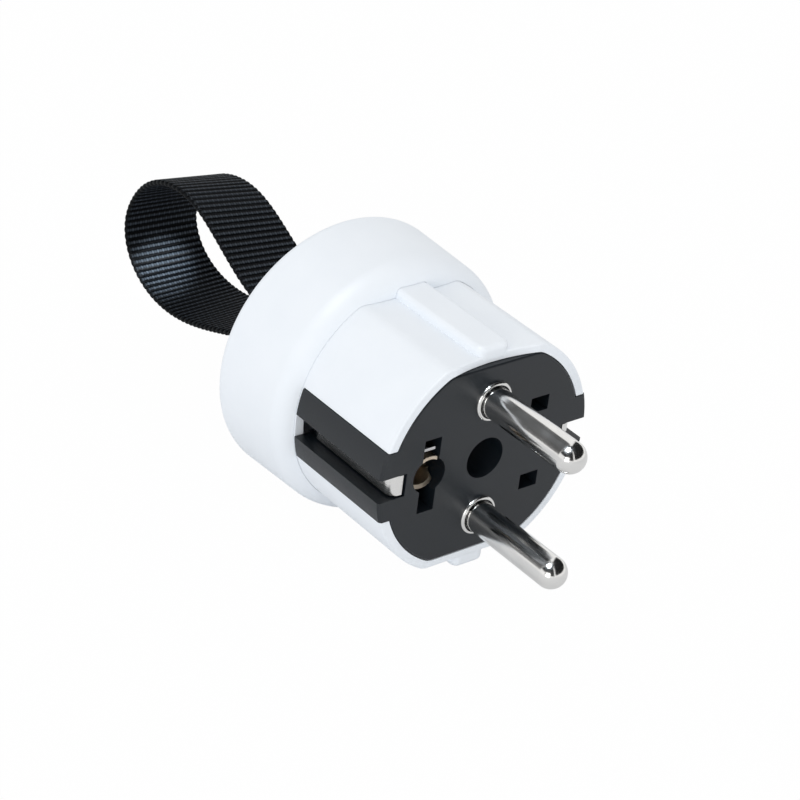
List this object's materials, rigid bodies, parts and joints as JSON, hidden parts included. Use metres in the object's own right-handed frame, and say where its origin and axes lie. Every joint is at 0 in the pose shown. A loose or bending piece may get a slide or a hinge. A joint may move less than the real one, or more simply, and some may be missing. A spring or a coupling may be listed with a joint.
{
  "type": "type f plug",
  "caption": "White round mains plug with a black pin carrier, round pins, an earth socket hole, side earth contacts and a ribbed webbing loop at the back for pulling it out.",
  "frame": {"origin": "centre of the engagement face, the flat face that the pins stand out of", "axes": "-Y along the pins out of the face, +Y towards the cover and the webbing loop, +Z along the line of the two pins, the earth socket hole at -X and the cord inlet at +X"},
  "size_m": [0.0427, 0.1043, 0.0424],
  "materials": {
    "housing": "satin white",
    "carrier": "satin black",
    "nickel": "nickel plated",
    "zinc_steel": "zinc plated",
    "spring_steel": "bright",
    "brass": "plain",
    "webbing": "ribbed weave",
    "grommet": "matt black"
  },
  "bodies": {
    "root": {"rear_cover": "housing", "front_shell": "housing", "pin_carrier": "carrier", "line_pin": "nickel", "neutral_pin": "nickel", "line_terminal_screw": "zinc_steel", "neutral_terminal_screw": "zinc_steel", "earth_bow": "nickel", "earth_socket": "nickel", "earth_socket_spring": "spring_steel", "earth_clamp_washer": "zinc_steel", "earth_terminal_screw": "zinc_steel", "screw_washer": "zinc_steel", "housing_screw": "zinc_steel", "threaded_insert": "brass", "strap_pin": "spring_steel", "strap_loop": "webbing", "cord_clamp": "carrier", "cord_clamp_screw_upper": "zinc_steel", "cord_clamp_screw_lower": "zinc_steel", "cord_grommet": "grommet"}
  },
  "joints": []
}
